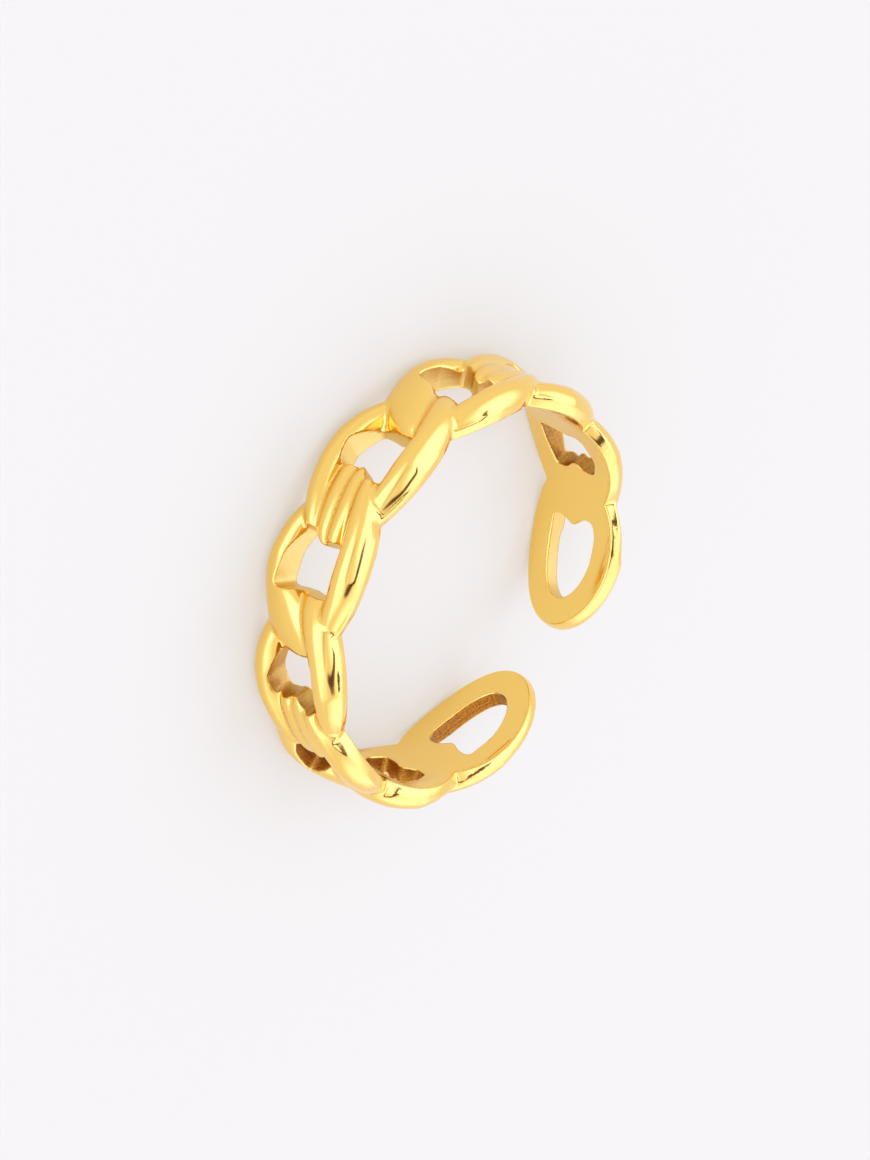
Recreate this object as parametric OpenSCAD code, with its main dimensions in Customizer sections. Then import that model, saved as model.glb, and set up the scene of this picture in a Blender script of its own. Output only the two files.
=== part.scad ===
// Open finger ring: a curb-chain band of oval links, cast in one piece and bent round the finger.
// The ring's axis is Z. The middle of the opening faces -Y and the middle crossing faces +Y.

/* [Ring] */
// Inside diameter of the band
bore_d = 17; // [15:0.5:20]
// Angle of the opening between the two end tips, seen from the axis
gap_angle = 15.5; // [12:0.5:40]
// Number of links along the band
links = 10; // [8:2:12]

/* [Link] */
// Width of a link, across the band
link_w = 4.54; // [4.2:0.05:5]
// Width of the cast wire, seen from outside
wire_w = 1.12; // [1:0.02:1.2]
// Height of the wire's crown above the bore at the middle of the band
crown_h = 1.67; // [1.4:0.01:1.9]
// Height of the wire's crown above the bore towards the two tips
tip_crown_h = 1.16; // [1:0.02:1.4]
// Height of the widest place of the wire above the bore
belly_h = 0.45; // [0.35:0.05:0.5]
// How far the side walls draw in from the widest place to the bore
rim_draft = 0.1; // [0:0.02:0.2]

/* [Hidden] */

bore_r = bore_d / 2;
// A link's oval reaches this far from its middle, in pitches: half a pitch and its share of the overlap
reach = 0.76;
// The same for the free ends of the two end links, and for the ends of their holes
end_reach = 0.8;
hole_reach = 0.53;
pitch_angle = (360 - gap_angle) / (links - 1 + 2 * end_reach);
half_w = link_w / 2;
hole_half_w = half_w - wire_w;
// Thickness left inside the bore until the bore is cut
skin = 0.6;
// The side walls draw in by this much down to there
foot_draft = rim_draft * (belly_h + skin) / belly_h;
// Height of the floor of the relief above the bore
floor_h = 0.55;

// Strands of the relief near a crossing. Along is in pitches from the crossing, and the rest in millimetres:
// place across the band, half width, and how far the crown is below the highest crown.
along = 0;
across = 1;
half = 2;
drop = 3;

// The arm that ends at an even crossing turns into a broad hook and dips under the next link
hook = [
    [-0.50, -1.62, 0.65, 0.04],
    [-0.34, -1.52, 0.74, 0.00],
    [-0.20, -1.10, 1.06, 0.00],
    [-0.05, -0.64, 1.34, 0.04],
    [0.08, -0.30, 1.45, 0.12],
    [0.17, 0.00, 1.28, 0.26],
    [0.23, 0.12, 1.05, 0.48],
    [0.27, 0.15, 0.90, 0.80],
];
// The next link's arm starts at the hole before the crossing and lies over the hook
cover = [
    [-0.27, 0.42, 0.86, 0.60],
    [-0.18, 0.58, 0.86, 0.32],
    [-0.05, 0.92, 0.80, 0.08],
    [0.10, 1.24, 0.72, 0.00],
    [0.25, 1.46, 0.66, 0.00],
    [0.50, 1.62, 0.65, 0.04],
];
// The arm that ends at an odd crossing runs out beside the two ridges
taper = [
    [-0.50, -1.62, 0.65, 0.04],
    [-0.30, -1.56, 0.62, 0.00],
    [-0.10, -1.34, 0.65, 0.00],
    [0.08, -1.06, 0.63, 0.02],
    [0.20, -0.82, 0.52, 0.12],
    [0.30, -0.62, 0.34, 0.30],
];
// One of the two ridges that run from hole to hole at an odd crossing
ridge = [
    [-0.36, -0.56, 0.40, 0.70],
    [-0.28, -0.52, 0.50, 0.30],
    [-0.15, -0.44, 0.56, 0.22],
    [0.05, -0.30, 0.60, 0.19],
    [0.22, -0.14, 0.58, 0.25],
    [0.30, -0.06, 0.50, 0.42],
    [0.36, 0.00, 0.40, 0.70],
];
// The low end of an arm, which runs under its neighbour
tuck = [
    [-0.50, 1.62, 0.65, 0.04],
    [-0.30, 1.56, 0.62, 0.22],
    [-0.12, 1.34, 0.62, 0.42],
    [0.02, 1.12, 0.60, 0.62],
    [0.14, 0.90, 0.50, 0.85],
];

// A strand turned half round about the radial line through its crossing
function turned(strand) = [
    for (i = [len(strand) - 1:-1:0])
        [-strand[i][along], -strand[i][across], strand[i][half], strand[i][drop]]
];
even_strands = [hook, cover, tuck, turned(tuck)];
odd_strands = [taper, turned(taper), ridge, turned(ridge), tuck, turned(tuck)];

// Smooth curve through a table's rows: one column's value at a place along
function row_before(strand, s, i = 0) =
    i >= len(strand) - 2 || strand[i + 1][along] > s ? i : row_before(strand, s, i + 1);
function slope(strand, i, c) =
    let (a = max(i - 1, 0), b = min(i + 1, len(strand) - 1))
    (strand[b][c] - strand[a][c]) / (strand[b][along] - strand[a][along]);
function at(strand, s, c) =
    let (
        i = row_before(strand, s),
        d = strand[i + 1][along] - strand[i][along],
        t = (s - strand[i][along]) / d,
        p = strand[i][c],
        q = strand[i + 1][c]
    )
    p * (1 + 2 * t) * (1 - t) ^ 2 + slope(strand, i, c) * d * t * (1 - t) ^ 2
    + q * t ^ 2 * (3 - 2 * t) - slope(strand, i + 1, c) * d * t ^ 2 * (1 - t);
function within(strand, s) = s >= strand[0][along] && s <= strand[len(strand) - 1][along];

// Rise of the crown over the widest place of the wire: full at the band's middle, less towards the tips
wire_rise = crown_h - belly_h;
tip_share = (tip_crown_h - belly_h) / wire_rise;
// The rise has come down to its share at the tips this far from the middle, in pitches
swell_reach = 2.75;
function swell(u) =
    tip_share + (1 - tip_share) * cos(90 * min(1, abs(u - links / 2) / swell_reach)) ^ 2;

// Height above the bore of a wire of elliptic section, at a distance from its middle in half widths
function dome(q) = abs(q) >= 1 ? 0 : wire_rise * sqrt(1 - q ^ 2);
function strand_height(strand, u, s, z) =
    within(strand, s)
    ? belly_h + swell(u) * (dome((z - at(strand, s, across)) / at(strand, s, half)) - at(strand, s, drop))
    : 0;

// Crossing k joins link k and link k + 1, and lies at k pitches. Odd crossings have the two ridges.
function strands_of(k) = k % 2 == 0 ? even_strands : odd_strands;
function crossing_height(k, u, z) =
    k < 1 || k > links - 1 ? 0 : max([for (s = strands_of(k)) strand_height(s, u, u - k, z)]);
function relief(u, z) =
    max(floor_h, crossing_height(floor(u), u, z), crossing_height(floor(u) + 1, u, z));

// Outline of the band: the links' ovals, nearest link first
function link_at(u) = min(max(round(u + 0.5), 1), links);
function outline(u) = half_w * sqrt(max(0, 1 - ((u - link_at(u) + 0.5) / reach) ^ 2));

// Edge of the plate between two holes, on the side of the next link. Each row has the place across the band
// and how far the edge stands from the crossing, in pitches.
// The edge slants everywhere, so that no wall there is parallel to the ring's axis.
odd_edge = [
    [-hole_half_w, 0.220],
    [-0.5, 0.250],
    [0.05, 0.340],
    [0.5, 0.300],
    [hole_half_w, 0.275]
];
even_edge = [
    [-hole_half_w, 0.200],
    [-0.5, 0.250],
    [0, 0.275],
    [0.5, 0.265],
    [hole_half_w, 0.240]
];
function plate_edge(k, z) = lookup(z, k % 2 == 0 ? even_edge : odd_edge);

module link_band() {
    color("gold")
        difference() {
            band_blank();
            // The bore's seam lies in the opening, clear of the metal
            rotate([0, 0, -90])
                cylinder(r = bore_r, h = 3 * link_w, center = true, $fn = bore_sides);
        }
}

// Sampling of the relief: rows over the crown of a wire, closer together towards the outline
rail_rows = 4;
rail_crowding = 1.4;
// Rows across a plate, and steps from its crossing to each hole
mid_rows = 18;
plate_steps = 5;
// Steps along a hole, and round a free end
rail_steps = 7;
end_steps = 12;
bore_sides = 180;

// A point of the band: u in pitches, z across, h above the bore
function place(u, z, h) =
    let (a = 90 + (u - links / 2) * pitch_angle)
    [(bore_r + h) * cos(a), (bore_r + h) * sin(a), z];

// Column i of the plate at crossing k, from -plate_steps at one hole to plate_steps at the next
function plate_u(k, i, z) = k + i / plate_steps * (i < 0 ? plate_edge(k, -z) : plate_edge(k, z));

// Stations along one side of the band, from the middle of the first link to the middle of the last
function stations(z) = [
    for (k = [1:links - 1]) each [
        for (i = [k == 1 ? 0 : 1:rail_steps - 1])
            let (a = k == 1 ? 0.5 : plate_u(k - 1, plate_steps, z))
            a + i / rail_steps * (plate_u(k, -plate_steps, z) - a),
        for (i = [-plate_steps:plate_steps]) plate_u(k, i, z)
    ],
    for (i = [1:rail_steps])
        let (a = plate_u(links - 1, plate_steps, z))
        a + i / rail_steps * (links - 0.5 - a)
];
side_count = (links - 1) * (rail_steps + 2 * plate_steps) + rail_steps + 1;
function station(k, i) = rail_steps + (k - 1) * (rail_steps + 2 * plate_steps) + plate_steps + i;

// Shares of the way from the hole's edge to the outline where the relief is sampled
function rail_share(j) = 1 - (1 - j / rail_rows) ^ rail_crowding;

// One section of the wire: up the hole's wall, over the crown, and down the side wall past the bore
function rail_section(u, side) =
    let (w = outline(u))
    [
        place(u, side * hole_half_w, -skin),
        for (j = [0:rail_rows])
            let (z = side * (hole_half_w + (w - hole_half_w) * rail_share(j)))
            place(u, z, relief(u, z)),
        place(u, side * w, belly_h),
        place(u, side * (w - foot_draft), -skin)
    ];

// The same section swept round the free end of an end link. The angle is 90 at the +Z side.
function end_section(middle, way, angle) =
    let (
        inner = [way * hole_reach * cos(angle), hole_half_w * sin(angle)],
        outer = [way * end_reach * cos(angle), half_w * sin(angle)],
        rim = outer * (1 - foot_draft / half_w)
    )
    [
        place(middle + inner[0], inner[1], -skin),
        for (j = [0:rail_rows])
            let (t = rail_share(j), p = inner + (outer - inner) * t)
            place(middle + p[0], p[1], arm_height(middle, hole_half_w + wire_w * t)),
        place(middle + outer[0], outer[1], belly_h),
        place(middle + rim[0], rim[1], -skin)
    ];
function arm_height(u, z) = strand_height(taper, u, -0.5, -z);

loop_sections = [
    for (u = stations(hole_half_w)) rail_section(u, 1),
    for (i = [1:end_steps - 1]) end_section(links - 0.5, 1, 90 - 180 * i / end_steps),
    for (u = reversed(stations(-hole_half_w))) rail_section(u, -1),
    for (i = [1:end_steps - 1]) end_section(0.5, -1, -90 + 180 * i / end_steps)
];
function reversed(list) = [for (i = [len(list) - 1:-1:0]) list[i]];
// Points of a section: the rows over the crown, the foot of the hole's wall and two on the side wall
section_size = rail_rows + 4;
loop_size = 2 * side_count + 2 * (end_steps - 1);
foot = 0;
hole_lip = 1;
function loop_point(i, j) = (i % loop_size) * section_size + j % section_size;
function side_index(k, i, side) =
    side > 0 ? station(k, i) : side_count + end_steps - 1 + side_count - 1 - station(k, i);
// Steps of the loop that run beside a plate, where the hole's wall is left open
function side_step(i) = i < side_count ? i : 2 * side_count + end_steps - 3 - i;
function beside_plate(i) =
    let (n = side_step(i) - rail_steps)
    n >= 0 && n < side_count - 1 - 2 * rail_steps && n % (rail_steps + 2 * plate_steps) < 2 * plate_steps;

// Plate of crossing k between the two holes. Its inner rows slant with the strands.
odd_slant = 0.8;
even_slant = 1.4;
function plate_z(k, i, j) =
    let (
        z = hole_half_w * (2 * j / mid_rows - 1),
        s = plate_u(k, i, z) - k
    )
    z + (k % 2 == 0 ? even_slant : odd_slant) * s * (1 - (z / hole_half_w) ^ 2);
plate_points = [
    for (k = [1:links - 1], i = [-plate_steps:plate_steps], j = [1:mid_rows - 1])
        let (z = plate_z(k, i, j), u = plate_u(k, i, z))
        place(u, z, relief(u, z))
];
plate_size = (2 * plate_steps + 1) * (mid_rows - 1);
function plate_point(k, i, j) =
    j == 0 ? loop_point(side_index(k, i, -1), hole_lip)
    : j == mid_rows ? loop_point(side_index(k, i, 1), hole_lip)
    : loop_size * section_size + (k - 1) * plate_size + (i + plate_steps) * (mid_rows - 1) + j - 1;

// Under each plate, inside the bore, one point joins the feet of the walls all round
under_depth = 2 * skin;
under_points = [for (k = [1:links - 1]) place(k, 0, -under_depth)];
function under_point(k) = loop_size * section_size + (links - 1) * plate_size + k - 1;
wall_points = [
    for (k = [1:links - 1], way = [-1, 1], j = [1:mid_rows - 1])
        let (z = plate_z(k, way * plate_steps, j))
        place(plate_u(k, way * plate_steps, z), z, -skin)
];
function wall_point(k, way, j) =
    j == 0 ? loop_point(side_index(k, way * plate_steps, -1), foot)
    : j == mid_rows ? loop_point(side_index(k, way * plate_steps, 1), foot)
    : under_point(links) + (2 * (k - 1) + (way + 1) / 2) * (mid_rows - 1) + j - 1;

function two(a, b, c, d) = [[a, b, c], [a, c, d]];
loop_faces = [
    for (i = [0:loop_size - 1], j = [beside_plate(i) ? 1 : 0:section_size - 1])
        each two(loop_point(i, j), loop_point(i, j + 1), loop_point(i + 1, j + 1), loop_point(i + 1, j))
];
plate_faces = [
    for (k = [1:links - 1], i = [-plate_steps:plate_steps - 1], j = [0:mid_rows - 1])
        each two(
            plate_point(k, i, j),
            plate_point(k, i, j + 1),
            plate_point(k, i + 1, j + 1),
            plate_point(k, i + 1, j)
        )
];
wall_faces = [
    for (k = [1:links - 1], j = [0:mid_rows - 1]) each concat(
        two(
            wall_point(k, 1, j),
            plate_point(k, plate_steps, j),
            plate_point(k, plate_steps, j + 1),
            wall_point(k, 1, j + 1)
        ),
        two(
            wall_point(k, -1, j),
            wall_point(k, -1, j + 1),
            plate_point(k, -plate_steps, j + 1),
            plate_point(k, -plate_steps, j)
        ),
        [
            [under_point(k), wall_point(k, 1, j), wall_point(k, 1, j + 1)],
            [under_point(k), wall_point(k, -1, j + 1), wall_point(k, -1, j)]
        ]
    )
];
under_faces = [
    for (k = [1:links - 1], i = [-plate_steps:plate_steps - 1], side = [-1, 1])
        let (
            a = loop_point(side_index(k, i, side), foot),
            b = loop_point(side_index(k, i + 1, side), foot)
        )
        side > 0 ? [under_point(k), b, a] : [under_point(k), a, b]
];

module band_blank() {
    polyhedron(
        points = concat([for (s = loop_sections) each s], plate_points, under_points, wall_points),
        faces = concat(loop_faces, plate_faces, wall_faces, under_faces)
    );
}

link_band();
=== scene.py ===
import math

import bpy
import numpy as np
from mathutils import Matrix, Vector
from mathutils.bvhtree import BVHTree
from mathutils.interpolate import poly_3d_calc


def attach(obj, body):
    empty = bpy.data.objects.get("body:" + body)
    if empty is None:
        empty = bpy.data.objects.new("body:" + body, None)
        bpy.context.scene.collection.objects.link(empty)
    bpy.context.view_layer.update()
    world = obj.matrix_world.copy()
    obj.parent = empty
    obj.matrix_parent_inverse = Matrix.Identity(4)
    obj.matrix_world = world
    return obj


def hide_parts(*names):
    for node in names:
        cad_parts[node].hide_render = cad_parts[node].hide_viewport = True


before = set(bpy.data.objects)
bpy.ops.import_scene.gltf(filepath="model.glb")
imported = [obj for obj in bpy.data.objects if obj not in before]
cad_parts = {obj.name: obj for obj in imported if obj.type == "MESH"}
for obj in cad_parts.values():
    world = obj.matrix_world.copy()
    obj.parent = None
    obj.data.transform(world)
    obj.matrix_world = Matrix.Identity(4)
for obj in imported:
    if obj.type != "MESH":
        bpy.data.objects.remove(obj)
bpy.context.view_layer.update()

# Sizes in millimetres, the same as in the part's source
BORE_R = 8.5
GAP_ANGLE = 15.5
LINKS = 10
HALF_W = 2.27
WIRE_W = 1.12
HOLE_HALF_W = HALF_W - WIRE_W
CROWN_H = 1.67
TIP_CROWN_H = 1.16
BELLY_H = 0.45
FLOOR_H = 0.55
RIM_DRAFT = 0.1
# Shares of a pitch: how far an oval reaches from its middle, then the same for free ends and their holes
REACH = 0.76
END_REACH = 0.8
HOLE_REACH = 0.53
PITCH = BORE_R * math.radians((360 - GAP_ANGLE) / (LINKS - 1 + 2 * END_REACH))
SWELL_REACH = 2.75
WIRE_RISE = CROWN_H - BELLY_H
TIP_SHARE = (TIP_CROWN_H - BELLY_H) / WIRE_RISE
MILLIMETRE = 0.001

# The band is modelled flat, from tip to tip along X, with its width along Y and the bore's face at Z = 0.
# Strands near a crossing: place along in pitches, place across, half width and drop of the crown.
ALONG, ACROSS, HALF, DROP = range(4)
HOOK = [
    (-0.50, -1.62, 0.65, 0.04),
    (-0.34, -1.46, 0.82, 0.00),
    (-0.20, -1.02, 1.16, 0.00),
    (-0.05, -0.64, 1.34, 0.04),
    (0.08, -0.30, 1.45, 0.12),
    (0.17, 0.00, 1.28, 0.26),
    (0.23, 0.12, 1.05, 0.48),
    (0.27, 0.15, 0.90, 0.80),
]
COVER = [
    (-0.27, 0.42, 0.86, 0.60),
    (-0.18, 0.58, 0.86, 0.32),
    (-0.05, 0.92, 0.80, 0.08),
    (0.10, 1.24, 0.72, 0.00),
    (0.25, 1.46, 0.66, 0.00),
    (0.50, 1.62, 0.65, 0.04),
]
TAPER = [
    (-0.50, -1.62, 0.65, 0.04),
    (-0.30, -1.56, 0.62, 0.00),
    (-0.10, -1.34, 0.65, 0.00),
    (0.08, -1.06, 0.63, 0.02),
    (0.20, -0.82, 0.52, 0.12),
    (0.30, -0.62, 0.34, 0.30),
]
RIDGE = [
    (-0.36, -0.56, 0.40, 0.70),
    (-0.28, -0.52, 0.50, 0.30),
    (-0.15, -0.44, 0.56, 0.22),
    (0.05, -0.30, 0.60, 0.19),
    (0.22, -0.14, 0.58, 0.25),
    (0.30, -0.06, 0.50, 0.42),
    (0.36, 0.00, 0.40, 0.70),
]
TUCK = [
    (-0.50, 1.62, 0.65, 0.04),
    (-0.30, 1.56, 0.62, 0.22),
    (-0.12, 1.34, 0.62, 0.42),
    (0.02, 1.12, 0.60, 0.62),
    (0.14, 0.90, 0.50, 0.85),
]
# Edge of a hole beside a crossing: place across, then how far it stands from the crossing in pitches.
# The middle rows are the plate's edge, and the outer ones the rounded corners of the hole.
ODD_EDGE = [
    (-1.32, 0.50), (-1.18, 0.40), (-1.06, 0.32), (-0.95, 0.26), (-0.50, 0.25),
    (0.05, 0.34), (0.50, 0.30), (1.00, 0.29), (1.16, 0.33), (1.30, 0.46),
]
EVEN_EDGE = [
    (-1.32, 0.54), (-1.20, 0.46), (-1.05, 0.36), (-0.95, 0.30), (-0.70, 0.265),
    (0.00, 0.275), (0.50, 0.265), (1.10, 0.25), (1.28, 0.29), (1.34, 0.42),
]
HOLE_MOST = 1.3
# How far the walls of each link's hole are painted darker and browner, from the first link to the last: painted
# shade on their satin cast finish
HOLE_WALL_SHADE = [0.1, 0.8, 0.4, 0.15, 0.0, 0.0, 0.5, 0.8, 0.9, 1.0]


def turned(strand):
    """The strand turned half round about the line out of the band through its crossing."""
    return [(-row[ALONG], -row[ACROSS], row[HALF], row[DROP]) for row in reversed(strand)]


def smooth_row(rows, place):
    """The columns after the first, at a place in the first, on a smooth curve through the rows."""
    i = 0
    while i < len(rows) - 2 and rows[i + 1][0] <= place:
        i += 1
    d = rows[i + 1][0] - rows[i][0]
    t = min(1, max(0, (place - rows[i][0]) / d))
    values = []
    for column in range(1, len(rows[0])):
        slopes = []
        for row in (i, i + 1):
            low, high = rows[max(row - 1, 0)], rows[min(row + 1, len(rows) - 1)]
            slopes.append((high[column] - low[column]) / (high[0] - low[0]))
        value = rows[i][column] * (1 + 2 * t) * (1 - t) ** 2 + slopes[0] * d * t * (1 - t) ** 2
        value += rows[i + 1][column] * t * t * (3 - 2 * t) - slopes[1] * d * t * t * (1 - t)
        values.append(value)
    return values


def swell(u):
    """Share of the full rise of the wire: 1 at the band's middle, less towards the tips."""
    return TIP_SHARE + (1 - TIP_SHARE) * math.cos(math.pi / 2 * min(1, abs(u - LINKS / 2) / SWELL_REACH)) ** 2


def flat_x(u):
    return PITCH * (u - LINKS / 2)


def edge_of(k, y):
    """How far the plate of crossing k reaches towards the next link, in pitches."""
    return smooth_row(EVEN_EDGE if k % 2 == 0 else ODD_EDGE, y)[0]


# Tools of the bench
def deselect():
    bpy.ops.object.select_all(action="DESELECT")


def pick(piece):
    deselect()
    piece.select_set(True)
    bpy.context.view_layer.objects.active = piece


def edit(piece):
    pick(piece)
    bpy.ops.object.mode_set(mode="EDIT")
    bpy.ops.mesh.select_all(action="SELECT")


def end_edit():
    bpy.ops.object.mode_set(mode="OBJECT")


def finish_modifier(piece, kind, **settings):
    pick(piece)
    modifier = piece.modifiers.new(kind.lower(), kind)
    for key, value in settings.items():
        setattr(modifier, key, value)
    bpy.ops.object.modifier_apply(modifier=modifier.name)


def copy_of(pieces):
    """One new piece from copies of several."""
    deselect()
    for piece in pieces:
        piece.select_set(True)
    bpy.ops.object.duplicate()
    bpy.context.view_layer.objects.active = bpy.context.selected_objects[0]
    bpy.ops.object.join()
    return bpy.context.object


def join(first, others):
    deselect()
    for piece in [first, *others]:
        piece.select_set(True)
    bpy.context.view_layer.objects.active = first
    bpy.ops.object.join()
    return first


def combine(piece, tool, operation):
    """Adds, cuts or keeps what is common, then throws the tool piece away."""
    finish_modifier(piece, "BOOLEAN", operation=operation, solver="MANIFOLD", object=tool)
    bpy.data.objects.remove(tool)


def sweep(name, section, stations):
    """Carries a closed section along the stations: each is x, y, z, half width, rise and heading."""
    deselect()
    section(rotation=(0, math.pi / 2, 0))
    piece = bpy.context.object
    piece.name = name
    bpy.ops.object.transform_apply(location=False, rotation=True, scale=False)
    edit(piece)
    x, y, z, half, rise, heading = stations[0]
    bpy.ops.transform.resize(value=(1, half, rise), center_override=(0, 0, 0))
    if heading:
        bpy.ops.transform.rotate(value=-heading, orient_axis="Z", center_override=(0, 0, 0))
    bpy.ops.transform.translate(value=(x, y, z))
    for before, now in zip(stations, stations[1:]):
        step = Vector(now[:3]) - Vector(before[:3])
        bpy.ops.mesh.extrude_region_move(TRANSFORM_OT_translate={"value": step})
        wide, tall = now[3] / before[3], now[4] / before[4]
        bpy.ops.transform.resize(value=(wide, wide, tall), center_override=now[:3])
        if now[5] != before[5]:
            bpy.ops.transform.rotate(value=before[5] - now[5], orient_axis="Z", center_override=now[:3])
    bpy.ops.mesh.select_all(action="SELECT")
    bpy.ops.mesh.normals_make_consistent(inside=False)
    end_edit()
    return piece


WIRE_SIDES = 56


def round_section(rotation):
    bpy.ops.mesh.primitive_circle_add(vertices=WIRE_SIDES, radius=1, fill_type="NGON", rotation=rotation)


def square_section(rotation):
    bpy.ops.mesh.primitive_plane_add(size=2, rotation=rotation)


# Stations of the strands
STEP = 0.035


def run(strand, crossing, start, end, heading=0.0):
    """Stations along one strand near a crossing, from one place along it to another."""
    count = max(2, round(abs(end - start) / STEP))
    stations = []
    for i in range(count + 1):
        s = start + (end - start) * i / count
        across, half, drop = smooth_row(strand, s)
        lift = swell(crossing + s)
        stations.append((flat_x(crossing + s), across, BELLY_H - lift * drop, half, lift * WIRE_RISE, heading))
    return stations


def free_end(middle, way, crown):
    """Stations round the free end of an end link; the crown lies at a share of the wire from its hole."""
    half_share = 0.65 / WIRE_W
    count = 30
    stations = []
    for i in range(1, count):
        angle = math.pi * (i / count - 0.5)
        inner = Vector((HOLE_REACH * PITCH * math.cos(angle), HOLE_HALF_W * math.sin(angle)))
        outer = Vector((END_REACH * PITCH * math.cos(angle), HALF_W * math.sin(angle)))
        ray = outer - inner
        centre = inner + ray * crown
        heading = way * (math.pi / 2 + math.atan2(ray.y, ray.x))
        x = flat_x(middle) + way * centre.x
        lift = swell(middle + way * centre.x / PITCH)
        stations.append(
            (x, centre.y, BELLY_H - 0.04 * lift, ray.length * half_share, lift * WIRE_RISE, heading)
        )
    return stations


def far_arm(link):
    """From under the last link's arm, along the -Y side, to the hook or the taper."""
    strand = HOOK if link % 2 == 0 else TAPER
    low_end = turned(TUCK)
    start = run(low_end, link - 1, low_end[0][ALONG], 0.5)
    return start[:-1] + run(strand, link, -0.5, strand[-1][ALONG])


def near_arm(link):
    """From over the last crossing, along the +Y side, to the low end under the next link."""
    strand = COVER if link % 2 == 1 else turned(TAPER)
    start = run(strand, link - 1, strand[0][ALONG], 0.5)
    return start[:-1] + run(TUCK, link, -0.5, TUCK[-1][ALONG])


def first_link():
    back = run(TAPER, 1, TAPER[-1][ALONG], -0.5)
    loop = free_end(0.5, -1, 0.52)
    return back + loop + run(TUCK, 1, -0.5, TUCK[-1][ALONG], heading=-math.pi)


def last_link():
    low_end, start = turned(TUCK), turned(TAPER)
    out = run(low_end, LINKS - 1, low_end[0][ALONG], 0.5)
    loop = free_end(LINKS - 0.5, 1, 0.38)
    return out + loop + run(start, LINKS - 1, 0.5, start[0][ALONG], heading=math.pi)


def oval(link):
    """The outline of one link as a solid plate: drawn in at the bore, full width at the belly."""
    deselect()
    bpy.ops.mesh.primitive_circle_add(vertices=120, radius=1, fill_type="NGON")
    piece = bpy.context.object
    edit(piece)
    long = REACH * PITCH
    centre = Vector((flat_x(link - 0.5), 0, 0))
    bpy.ops.transform.resize(value=(long - RIM_DRAFT, HALF_W - RIM_DRAFT, 1), center_override=(0, 0, 0))
    bpy.ops.transform.translate(value=centre)
    bpy.ops.mesh.extrude_region_move(TRANSFORM_OT_translate={"value": (0, 0, BELLY_H)})
    widen = (long / (long - RIM_DRAFT), HALF_W / (HALF_W - RIM_DRAFT), 1)
    bpy.ops.transform.resize(value=widen, center_override=centre + Vector((0, 0, BELLY_H)))
    bpy.ops.mesh.extrude_region_move(TRANSFORM_OT_translate={"value": (0, 0, 2 * CROWN_H)})
    bpy.ops.mesh.select_all(action="SELECT")
    bpy.ops.mesh.normals_make_consistent(inside=False)
    end_edit()
    if link in (1, LINKS):
        way = -1 if link == 1 else 1
        for vertex in piece.data.vertices:
            vertex.select = way * (vertex.co.x - centre.x) > 0.001
        bpy.ops.object.mode_set(mode="EDIT")
        bpy.ops.transform.resize(value=(END_REACH / REACH, 1, 1), center_override=centre)
        end_edit()
    return piece


def hole(link):
    """The hole inside one link, as a block that cuts it through."""
    rows = 36
    stations = []
    for i in range(rows + 1):
        angle = math.pi * (i / rows - 0.5) * 0.998
        widest = HOLE_HALF_W if link in (1, LINKS) else HOLE_MOST
        y = widest * math.sin(angle)
        start = flat_x(link - 1 + edge_of(link - 1, y))
        end = flat_x(link - edge_of(link, -y))
        if link == 1:
            start = flat_x(0.5 - HOLE_REACH * math.cos(angle))
        if link == LINKS:
            end = flat_x(LINKS - 0.5 + HOLE_REACH * math.cos(angle))
        half = max(0.02, (end - start) / 2)
        stations.append(((start + end) / 2, y, 0, half, 2 * CROWN_H, math.pi / 2))
    return sweep("hole", square_section, stations)


# The casting: all strands and the floor of the relief, cut to the links' outline and pierced
strands = [sweep("strand", round_section, first_link()), sweep("strand", round_section, last_link())]
for link in range(2, LINKS):
    strands.append(sweep("strand", round_section, far_arm(link)))
    strands.append(sweep("strand", round_section, near_arm(link)))
for crossing in range(1, LINKS, 2):
    for strand in (RIDGE, turned(RIDGE)):
        strands.append(sweep("strand", round_section, run(strand, crossing, strand[0][ALONG], strand[-1][ALONG])))

# The strands' own faces, whose smooth directions the casting keeps
crowns = copy_of(strands)
finish_modifier(crowns, "SUBSURF", levels=1, render_levels=1)

deselect()
bpy.ops.mesh.primitive_cube_add(size=1)
band = bpy.context.object
band.name = "cast_band"
edit(band)
length = 2 * flat_x(LINKS + 0.5)
bpy.ops.transform.resize(value=(length, 3 * HALF_W, 2 * FLOOR_H), center_override=(0, 0, 0))
end_edit()
band = join(band, strands)
finish_modifier(band, "REMESH", mode="VOXEL", voxel_size=0.05)

holes = [hole(link) for link in range(1, LINKS + 1)]
outline = oval(1)
for link in range(2, LINKS + 1):
    combine(outline, oval(link), "UNION")
walls = BVHTree.FromPolygons(
    [v.co.copy() for piece in holes for v in piece.data.vertices],
    [
        [index + start for index in face.vertices]
        for piece, start in zip(holes, [sum(len(p.data.vertices) for p in holes[:i]) for i in range(len(holes))])
        for face in piece.data.polygons
    ],
)
for piece in holes:
    combine(outline, piece, "DIFFERENCE")
combine(band, outline, "INTERSECT")
finish_modifier(band, "REMESH", mode="VOXEL", voxel_size=0.05)
finish_modifier(band, "SMOOTH", factor=0.5, iterations=14)


def smooth_steps(values, low, high):
    t = np.clip((values - low) / (high - low), 0, 1)
    return t * t * (3 - 2 * t)


def mark(name, values):
    attribute = band.data.attributes.new(name, "FLOAT", "POINT")
    attribute.data.foreach_set("value", values.astype(np.float32))


def points_of(piece):
    """Places and directions of a piece's points."""
    columns = []
    for name in ("co", "normal"):
        column = np.empty(3 * len(piece.data.vertices))
        piece.data.vertices.foreach_get(name, column)
        columns.append(column.reshape(-1, 3))
    return columns


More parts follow.
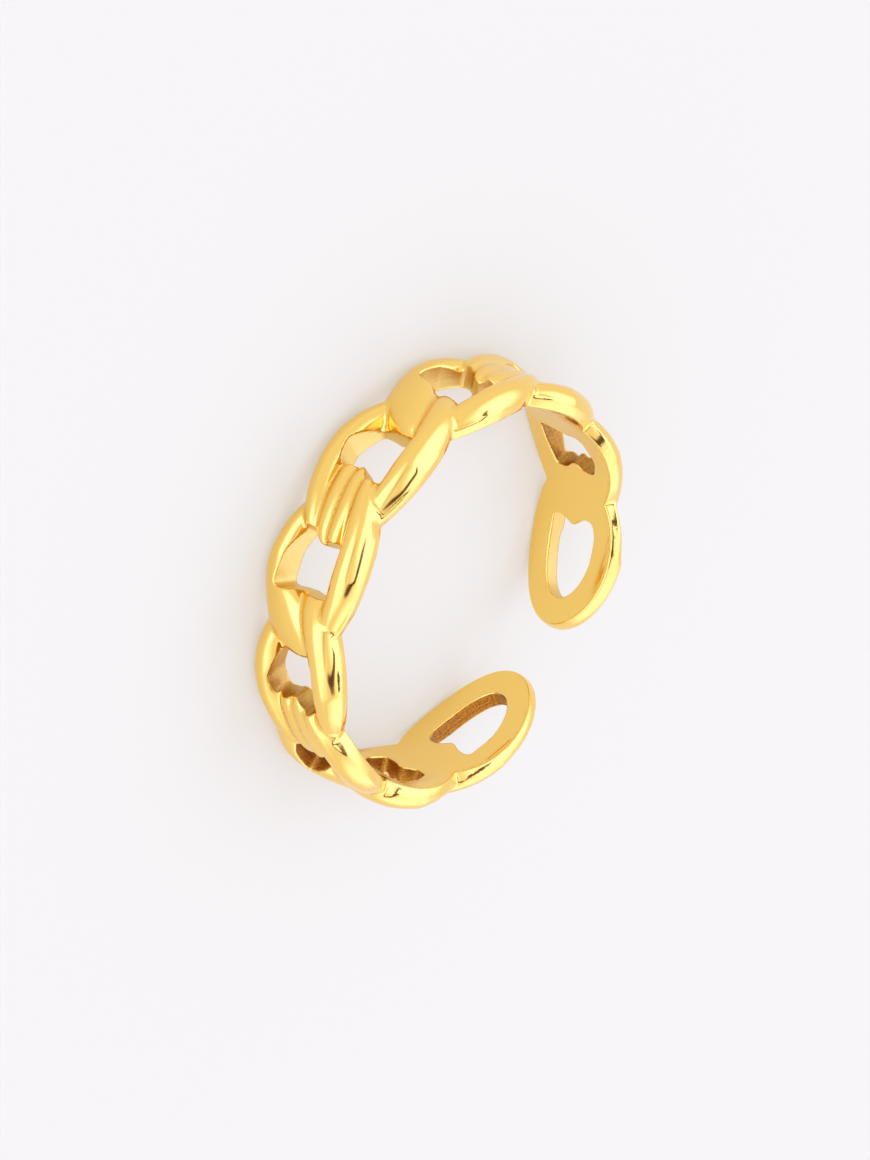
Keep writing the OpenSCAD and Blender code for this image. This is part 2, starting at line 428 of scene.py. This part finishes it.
def hollowness(piece, rounds):
    """How hollow the face is at each point: its neighbours stand above it in a groove."""
    place, facing = points_of(piece)
    ends = np.array([edge.vertices for edge in piece.data.edges])

    def around(values):
        """Mean over the edges at each point, of one value for each end of an edge."""
        total = np.zeros(len(place))
        count = np.zeros(len(place))
        for side in (0, 1):
            np.add.at(total, ends[:, side], values[side])
            np.add.at(count, ends[:, side], 1)
        return total / count

    step = place[ends[:, 1]] - place[ends[:, 0]]
    step /= np.linalg.norm(step, axis=1)[:, None]
    hollow = around([(step * facing[ends[:, 0]]).sum(1), -(step * facing[ends[:, 1]]).sum(1)])
    for i in range(rounds):
        hollow = (hollow + around([hollow[ends[:, 1]], hollow[ends[:, 0]]])) / 2
    return hollow


def keep_directions(piece, model):
    """Gives a piece's points the model's smooth directions, apart from its creases and edges."""
    faces = model.data.polygons
    corners = model.data.vertices
    tree = BVHTree.FromPolygons([v.co for v in corners], [face.vertices for face in faces])
    directions = []
    for vertex in piece.data.vertices:
        point, facing, index, gap = tree.find_nearest(vertex.co)
        around = [corners[i] for i in faces[index].vertices]
        shares = poly_3d_calc([corner.co for corner in around], point)
        smooth = sum((corner.normal * share for corner, share in zip(around, shares)), Vector()).normalized()
        turn = smooth.angle(vertex.normal, math.pi)
        share = 0 if gap > DIRECTION_GAP else min(1, max(0, (DIRECTION_TURN - turn) / (DIRECTION_TURN / 2)))
        directions.append(vertex.normal.lerp(smooth, share).normalized())
    bpy.ops.object.shade_smooth()
    piece.data.normals_split_custom_set_from_vertices(directions)


# Marks on the casting's points for its finish and its painted shade, made while it is flat
hollow = hollowness(band, 4)
# Painted shade: how brown each crease is coloured, by how hollow it is
mark("painted_crease_shade", smooth_steps(hollow, 0.03, 0.17))
creases = band.vertex_groups.new(name="creases")
for index in np.flatnonzero(hollow > 0.02):
    creases.add([int(index)], min(1, 20 * hollow[index]), "REPLACE")
finish_modifier(band, "SMOOTH", factor=0.5, iterations=40, vertex_group="creases")
band.vertex_groups.clear()
finish_modifier(band, "DECIMATE", ratio=0.37)
place, facing = points_of(band)
far = np.array([walls.find_nearest(vertex.co)[3] for vertex in band.data.vertices])
mark("hole_wall", (1 - smooth_steps(far, 0.05, 0.12)) * (1 - smooth_steps(abs(facing[:, 2]), 0.1, 0.3)))
links = np.clip(np.ceil(place[:, 0] / PITCH + LINKS / 2).astype(int), 1, LINKS)
# Painted shade: the walls of each link's hole take that link's share of the dark brown wall tone
mark("cast_wall_shade", np.array(HOLE_WALL_SHADE)[links - 1])
# Filing lines run along the band on the side walls of the holes, and towards the bore on the others
mark("across_filing", np.where(abs(facing[:, 1]) > 0.75, place[:, 2], place[:, 1]))
DIRECTION_GAP = 0.04
DIRECTION_TURN = math.radians(10)
keep_directions(band, crowns)
bpy.data.objects.remove(crowns)

# Bent round the finger: the bore's face keeps its length
band.rotation_euler = (math.pi / 2, 0, 0)
pick(band)
bpy.ops.object.transform_apply()
xs = [v.co.x for v in band.data.vertices]
finish_modifier(
    band, "SIMPLE_DEFORM", deform_method="BEND", deform_axis="Z", angle=(max(xs) - min(xs)) / BORE_R
)
band.location = (0, -BORE_R, 0)
bpy.ops.object.transform_apply()
band.rotation_euler = (0, 0, math.pi)
band.scale = (MILLIMETRE,) * 3
bpy.ops.object.transform_apply()
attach(band, "root")
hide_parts("link_band")


# Materials: spacing and depth of the file lines, size of the buffed patches and of the casting's grain
FILING_PITCH = 0.11
FILING_DEPTH = 0.02
BUFFING_SIZE = 0.8
GRAIN_SIZE = 0.07


def linear(code):
    """An sRGB hex colour as linear values."""
    parts = [int(code[i:i + 2], 16) / 255 for i in (1, 3, 5)]
    return [p / 12.92 if p <= 0.04045 else ((p + 0.055) / 1.055) ** 2.4 for p in parts] + [1.0]


def add_node(tree, kind, settings=(), links=()):
    """Adds a node, sets its sockets or properties, and links sockets to it from other nodes."""
    node = tree.nodes.new(kind)
    for key, value in dict(settings).items():
        if isinstance(key, int) or key in node.inputs:
            node.inputs[key].default_value = value
        else:
            setattr(node, key, value)
    for key, (source, socket) in dict(links).items():
        tree.links.new(source.outputs[socket], node.inputs[key])
    return node


def new_material(name):
    material = bpy.data.materials.new(name)
    material.use_nodes = True
    material.node_tree.nodes.clear()
    return material


def mix_tone(tree, share, first, second):
    """Mixes two colours, each a hex code or a node's output, by a share from a node."""
    node = add_node(tree, "ShaderNodeMix", {"data_type": "RGBA"}, {0: share})
    for index, tone in ((6, first), (7, second)):
        if isinstance(tone, str):
            node.inputs[index].default_value = linear(tone)
        else:
            tree.links.new(tone.outputs[2], node.inputs[index])
    return node


def spread(tree, share, low, high):
    """The share from 0 to 1, spread from low to high."""
    return add_node(tree, "ShaderNodeMapRange", {"To Min": low, "To Max": high}, {"Value": share})


def polished_gold_plate():
    """Gold-plated brass: buffed faces shine like a mirror, creases get painted brown shade, holes are satin with
    file lines and painted shade.
    """
    material = new_material("polished_gold_plate")
    tree = material.node_tree
    shares = {
        name: (add_node(tree, "ShaderNodeAttribute", {"attribute_name": name}), "Fac")
        for name in ("hole_wall", "painted_crease_shade", "cast_wall_shade", "across_filing")
    }
    filing_place = add_node(
        tree, "ShaderNodeMath", {"operation": "DIVIDE", 1: FILING_PITCH}, {0: shares["across_filing"]}
    )
    filing = add_node(
        tree, "ShaderNodeTexNoise", {"noise_dimensions": "1D", "Scale": 1.0, "Detail": 2.0},
        {"W": (filing_place, 0)},
    )
    object_place = add_node(tree, "ShaderNodeTexCoord")
    buffing = add_node(
        tree, "ShaderNodeTexNoise", {"Scale": 1 / (BUFFING_SIZE * MILLIMETRE), "Detail": 3.0},
        {"Vector": (object_place, "Object")},
    )
    grain = add_node(
        tree, "ShaderNodeTexNoise", {"Scale": 1 / (GRAIN_SIZE * MILLIMETRE), "Detail": 2.0},
        {"Vector": (object_place, "Object")},
    )
    rough_cast = add_node(
        tree, "ShaderNodeMix", {"data_type": "FLOAT", 0: 0.6}, {2: (filing, "Fac"), 3: (grain, "Fac")}
    )
    # Painted shade: the gold turns brown in the creases, standing in for the shade that falls in them
    crease_shade_share = spread(tree, shares["painted_crease_shade"], 0.0, 0.85)
    buffed = mix_tone(tree, (crease_shade_share, 0), "#FCD373", "#A8691C")
    lines = add_node(
        tree, "ShaderNodeMapRange", {"From Min": 0.38, "From Max": 0.62}, {"Value": (rough_cast, 0)}
    )
    # Painted shade: a dark brown wall tone, streaked with the file lines and grain, for walls in shade
    shaded_wall_tone = mix_tone(tree, (lines, 0), "#7C4206", "#C98420")
    filed_wall_with_shade = mix_tone(tree, shares["cast_wall_shade"], "#EDCB74", shaded_wall_tone)
    tone = mix_tone(tree, shares["hole_wall"], buffed, filed_wall_with_shade)
    mirror = spread(tree, (buffing, "Fac"), 0.09, 0.13)
    satin = spread(tree, (filing, "Fac"), 0.30, 0.50)
    rough = add_node(
        tree, "ShaderNodeMix", {"data_type": "FLOAT"},
        {0: shares["hole_wall"], 2: (mirror, 0), 3: (satin, 0)},
    )
    depth = add_node(
        tree, "ShaderNodeMath", {"operation": "MULTIPLY"}, {0: (rough_cast, 0), 1: shares["hole_wall"]}
    )
    bump = add_node(
        tree, "ShaderNodeBump", {"Strength": 0.8, "Distance": FILING_DEPTH * MILLIMETRE}, {"Height": (depth, 0)}
    )
    shader = add_node(
        tree, "ShaderNodeBsdfPrincipled", {"Metallic": 1.0},
        {"Base Color": (tone, 2), "Roughness": (rough, 0), "Normal": (bump, 0)},
    )
    add_node(tree, "ShaderNodeOutputMaterial", (), {"Surface": (shader, "BSDF")})
    return material


def lit_sheet():
    """Matt white plastic sheet, lit softly from below so that it hardly holds a shadow."""
    material = new_material("lit_white_sheet")
    tree = material.node_tree
    shader = add_node(
        tree, "ShaderNodeBsdfPrincipled",
        {
            "Base Color": linear("#ADA99F"), "Roughness": 0.9, "Specular IOR Level": 0.1,
            "Emission Color": linear("#FFFEF8"), "Emission Strength": 0.405,
        },
    )
    add_node(tree, "ShaderNodeOutputMaterial", (), {"Surface": (shader, "BSDF")})
    return material


band.data.materials.clear()
band.data.materials.append(polished_gold_plate())

# Floor, camera and lights
deselect()
bpy.ops.mesh.primitive_plane_add(size=3, location=(0, 0, -HALF_W * MILLIMETRE))
floor = bpy.context.object
floor.name = "floor"
bpy.ops.object.transform_apply()
floor.data.materials.append(lit_sheet())

CAMERA_SIDE = math.radians(96.1)
CAMERA_LIFT = math.radians(33.3)
CAMERA_ROLL = math.radians(115.97)
CAMERA_DISTANCE = 0.272
# The picture's middle lies this far to the left of the ring's middle and above it
AIM_LEFT = 0.00041
AIM_UP = 0.00009
back = Vector((
    math.cos(CAMERA_SIDE) * math.cos(CAMERA_LIFT), math.sin(CAMERA_SIDE) * math.cos(CAMERA_LIFT),
    math.sin(CAMERA_LIFT),
))
level = Vector((0, 0, 1)).cross(back).normalized()
right = level * math.cos(CAMERA_ROLL) + back.cross(level) * math.sin(CAMERA_ROLL)
up = back.cross(right)
bpy.ops.object.camera_add()
camera = bpy.context.object
camera.data.lens = 200.7
camera.data.sensor_width = 36
place = back * CAMERA_DISTANCE - right * AIM_LEFT + up * AIM_UP
camera.matrix_world = Matrix((
    (right.x, up.x, back.x, place.x), (right.y, up.y, back.y, place.y), (right.z, up.z, back.z, place.z),
    (0, 0, 0, 1),
))
bpy.context.scene.camera = camera
bpy.context.scene.view_settings.view_transform = "Standard"


# The studio round the ring, drawn in the world: a pale tent, soft lamps behind it and dark arcs of its frame.
TENT = 0.96
# Lamps: direction to the picture's right, up and towards the camera, full and faint radius in degrees, strength
LAMPS = [
    ((1.00, -0.05, 0.10), 10, 38, 1.0),
    ((-0.09, -0.49, 0.87), 12, 50, 0.8),
    ((-0.62, -0.19, 0.82), 8, 32, 0.9),
    ((-0.52, 0.28, 0.80), 5, 30, 0.5),
    ((-0.48, -0.84, 0.26), 8, 30, 0.6),
    ((0.54, -0.77, -0.34), 8, 36, 0.7),
    ((0.12, 0.06, 0.99), 4, 22, 0.5),
]
# Height in degrees at which the lamps are clear of the floor's far edge, down to which they fade
LAMPS_CLEAR = 28
LAMP_TINT = (0.86, 0.93, 1.68, 1.0)
# Arcs round the zenith: height of the two edges, softness of each, azimuth of the middle, half span, darkness
ARCS = [
    (64, 70.5, 1.5, 2, -102, 76, 1.0),
    (64, 76, 2, 4, 120, 60, 0.4),
]
ARC_FADE = 28
ARC_TINT = (0.09, 0.04, 0.02, 1.0)


def calculate(tree, operation, first, second):
    """A maths node; each side is a number or a node whose first output is used."""
    node = add_node(tree, "ShaderNodeMath", {"operation": operation})
    for index, side in enumerate((first, second)):
        if isinstance(side, (int, float)):
            node.inputs[index].default_value = side
        else:
            tree.links.new(side.outputs[0], node.inputs[index])
    return node


def studio():
    world = bpy.data.worlds.new("studio")
    bpy.context.scene.world = world
    world.use_nodes = True
    tree = world.node_tree
    tree.nodes.clear()
    way = add_node(tree, "ShaderNodeTexCoord")

    def step_towards(aim, low, high, top):
        """From 0 to top as the direction's share along the aim goes from low to high."""
        share = add_node(
            tree, "ShaderNodeVectorMath", {"operation": "DOT_PRODUCT", 1: aim}, {0: (way, "Generated")}
        )
        return add_node(
            tree, "ShaderNodeMapRange",
            {"interpolation_type": "SMOOTHSTEP", "From Min": low, "From Max": high, "To Min": 0.0, "To Max": top},
            {"Value": (share, "Value")},
        )

    def height(degrees):
        return math.sin(math.radians(degrees))

    def nearness(degrees):
        return math.cos(math.radians(degrees))

    lamps = 0.0
    for direction, full, faint, strength in LAMPS:
        aim = (right * direction[0] + up * direction[1] + back * direction[2]).normalized()
        lamps = calculate(tree, "ADD", lamps, step_towards(aim, nearness(faint), nearness(full), strength))
    lamps = calculate(tree, "MULTIPLY", lamps, step_towards((0, 0, 1), 0.0, height(LAMPS_CLEAR), 1.0))
    dark = 0.0
    for low, high, soft_low, soft_high, azimuth, half_span, darkness in ARCS:
        over = step_towards((0, 0, 1), height(low - soft_low), height(low), 1.0)
        under = step_towards((0, 0, 1), height(high + soft_high), height(high), 1.0)
        turn = math.radians(azimuth)
        reach = nearness((low + high) / 2)
        span = step_towards(
            (math.cos(turn), math.sin(turn), 0), reach * nearness(half_span),
            reach * nearness(half_span - ARC_FADE), darkness,
        )
        arc = calculate(tree, "MULTIPLY", calculate(tree, "MULTIPLY", over, under), span)
        dark = calculate(tree, "MAXIMUM", dark, arc)
    lit = calculate(tree, "SUBTRACT", 1.0, dark)
    total = None
    for tint, strength in (
        ((1, 1, 1, 1), calculate(tree, "MULTIPLY", lit, TENT)),
        (LAMP_TINT, calculate(tree, "MULTIPLY", lit, lamps)),
        (ARC_TINT, dark),
    ):
        light = add_node(tree, "ShaderNodeBackground", {"Color": tint}, {"Strength": (strength, 0)})
        if total:
            total = add_node(tree, "ShaderNodeAddShader", (), {0: (total, 0), 1: (light, 0)})
        else:
            total = light
    add_node(tree, "ShaderNodeOutputWorld", (), {"Surface": (total, 0)})


studio()
